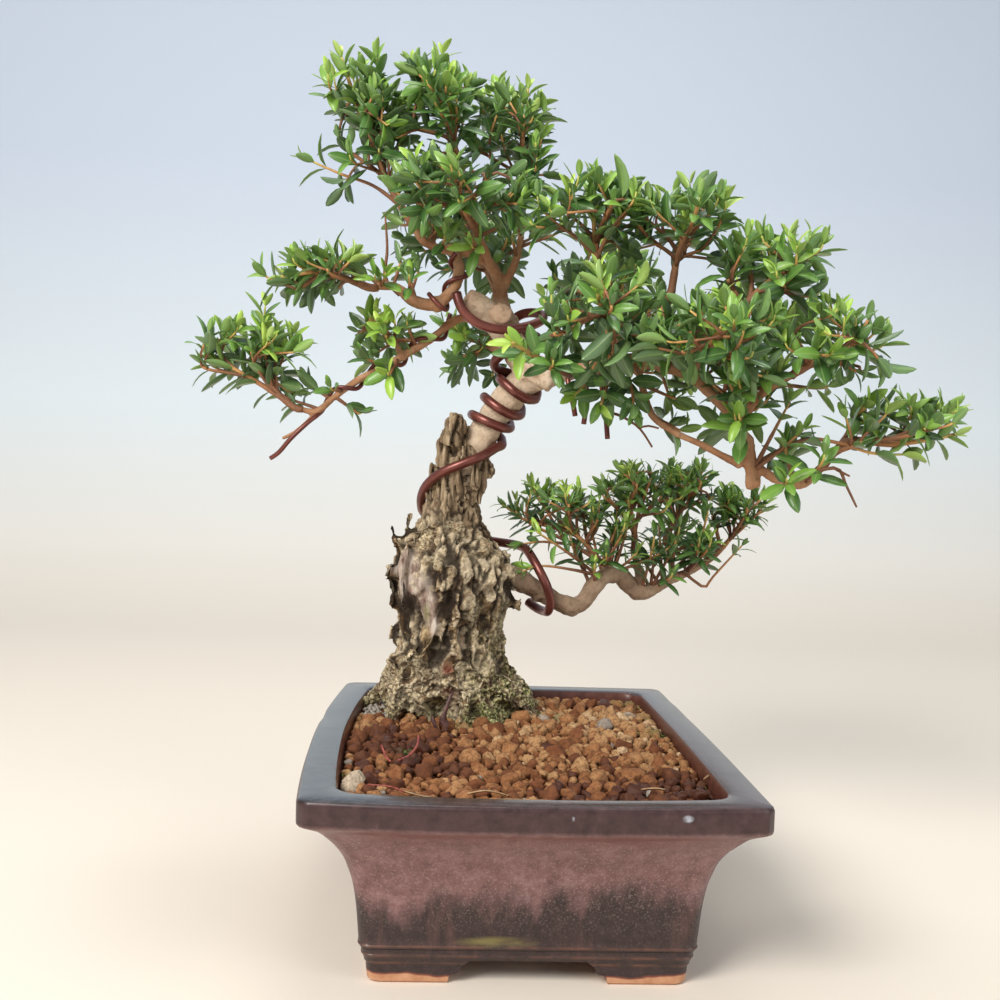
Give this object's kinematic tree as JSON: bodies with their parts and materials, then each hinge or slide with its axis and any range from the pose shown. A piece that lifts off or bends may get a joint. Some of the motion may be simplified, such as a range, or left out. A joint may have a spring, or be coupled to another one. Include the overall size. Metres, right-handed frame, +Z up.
{
  "type": "myrtle bonsai",
  "caption": "Small-leaved myrtle trained as a bonsai: gnarled leaning trunk, wired limbs and leafy sprays, in a flared glazed rectangular pot of granular soil.",
  "frame": {"origin": "under the middle of the whole plant's box, at the height of the pot's feet", "axes": "+Z up, X across the pot's short side, +Y along its long side, away from the viewer of the picture"},
  "size_m": [0.347, 0.2582, 0.381],
  "materials": {
    "glaze": "mottled plum and charcoal semi-gloss glaze, bare clay under the feet",
    "screen": "matte black mesh",
    "staple": "bare soft wire",
    "soil": "baked clay granules",
    "bark": "rough grey-brown bark with lichen and moss, smooth tan limbs",
    "wire": "dark red-brown lacquered training wire, semi-gloss",
    "leaf": "glossy leathery leaves, light at the shoot tips and dark below"
  },
  "bodies": {
    "root": {"pot": "glaze", "drain_screen_front": "screen", "drain_screen_back": "screen", "screen_wire_front": "staple", "screen_wire_back": "staple", "soil": "soil", "trunk": "bark", "trunk_wire": "wire", "left_branch_wire": "wire", "crown_wire": "wire", "spray_crown_left": "leaf", "spray_crown_mid": "leaf", "spray_crown_right": "leaf", "spray_crown_front": "leaf", "spray_crown_back": "leaf", "spray_left_upper": "leaf", "spray_left_inner": "leaf", "spray_left_lower": "leaf", "spray_canopy_top_left": "leaf", "spray_canopy_top_mid": "leaf", "spray_canopy_top_right": "leaf", "spray_canopy_right": "leaf", "spray_canopy_front_left": "leaf", "spray_canopy_front_mid": "leaf", "spray_far_right": "leaf", "spray_canopy_back_left": "leaf", "spray_canopy_back_right": "leaf", "spray_back_low": "leaf", "spray_front_shoot": "leaf", "spray_low_left": "leaf", "spray_low_mid": "leaf", "spray_low_right": "leaf", "spray_low_tip": "leaf"}
  },
  "joints": []
}
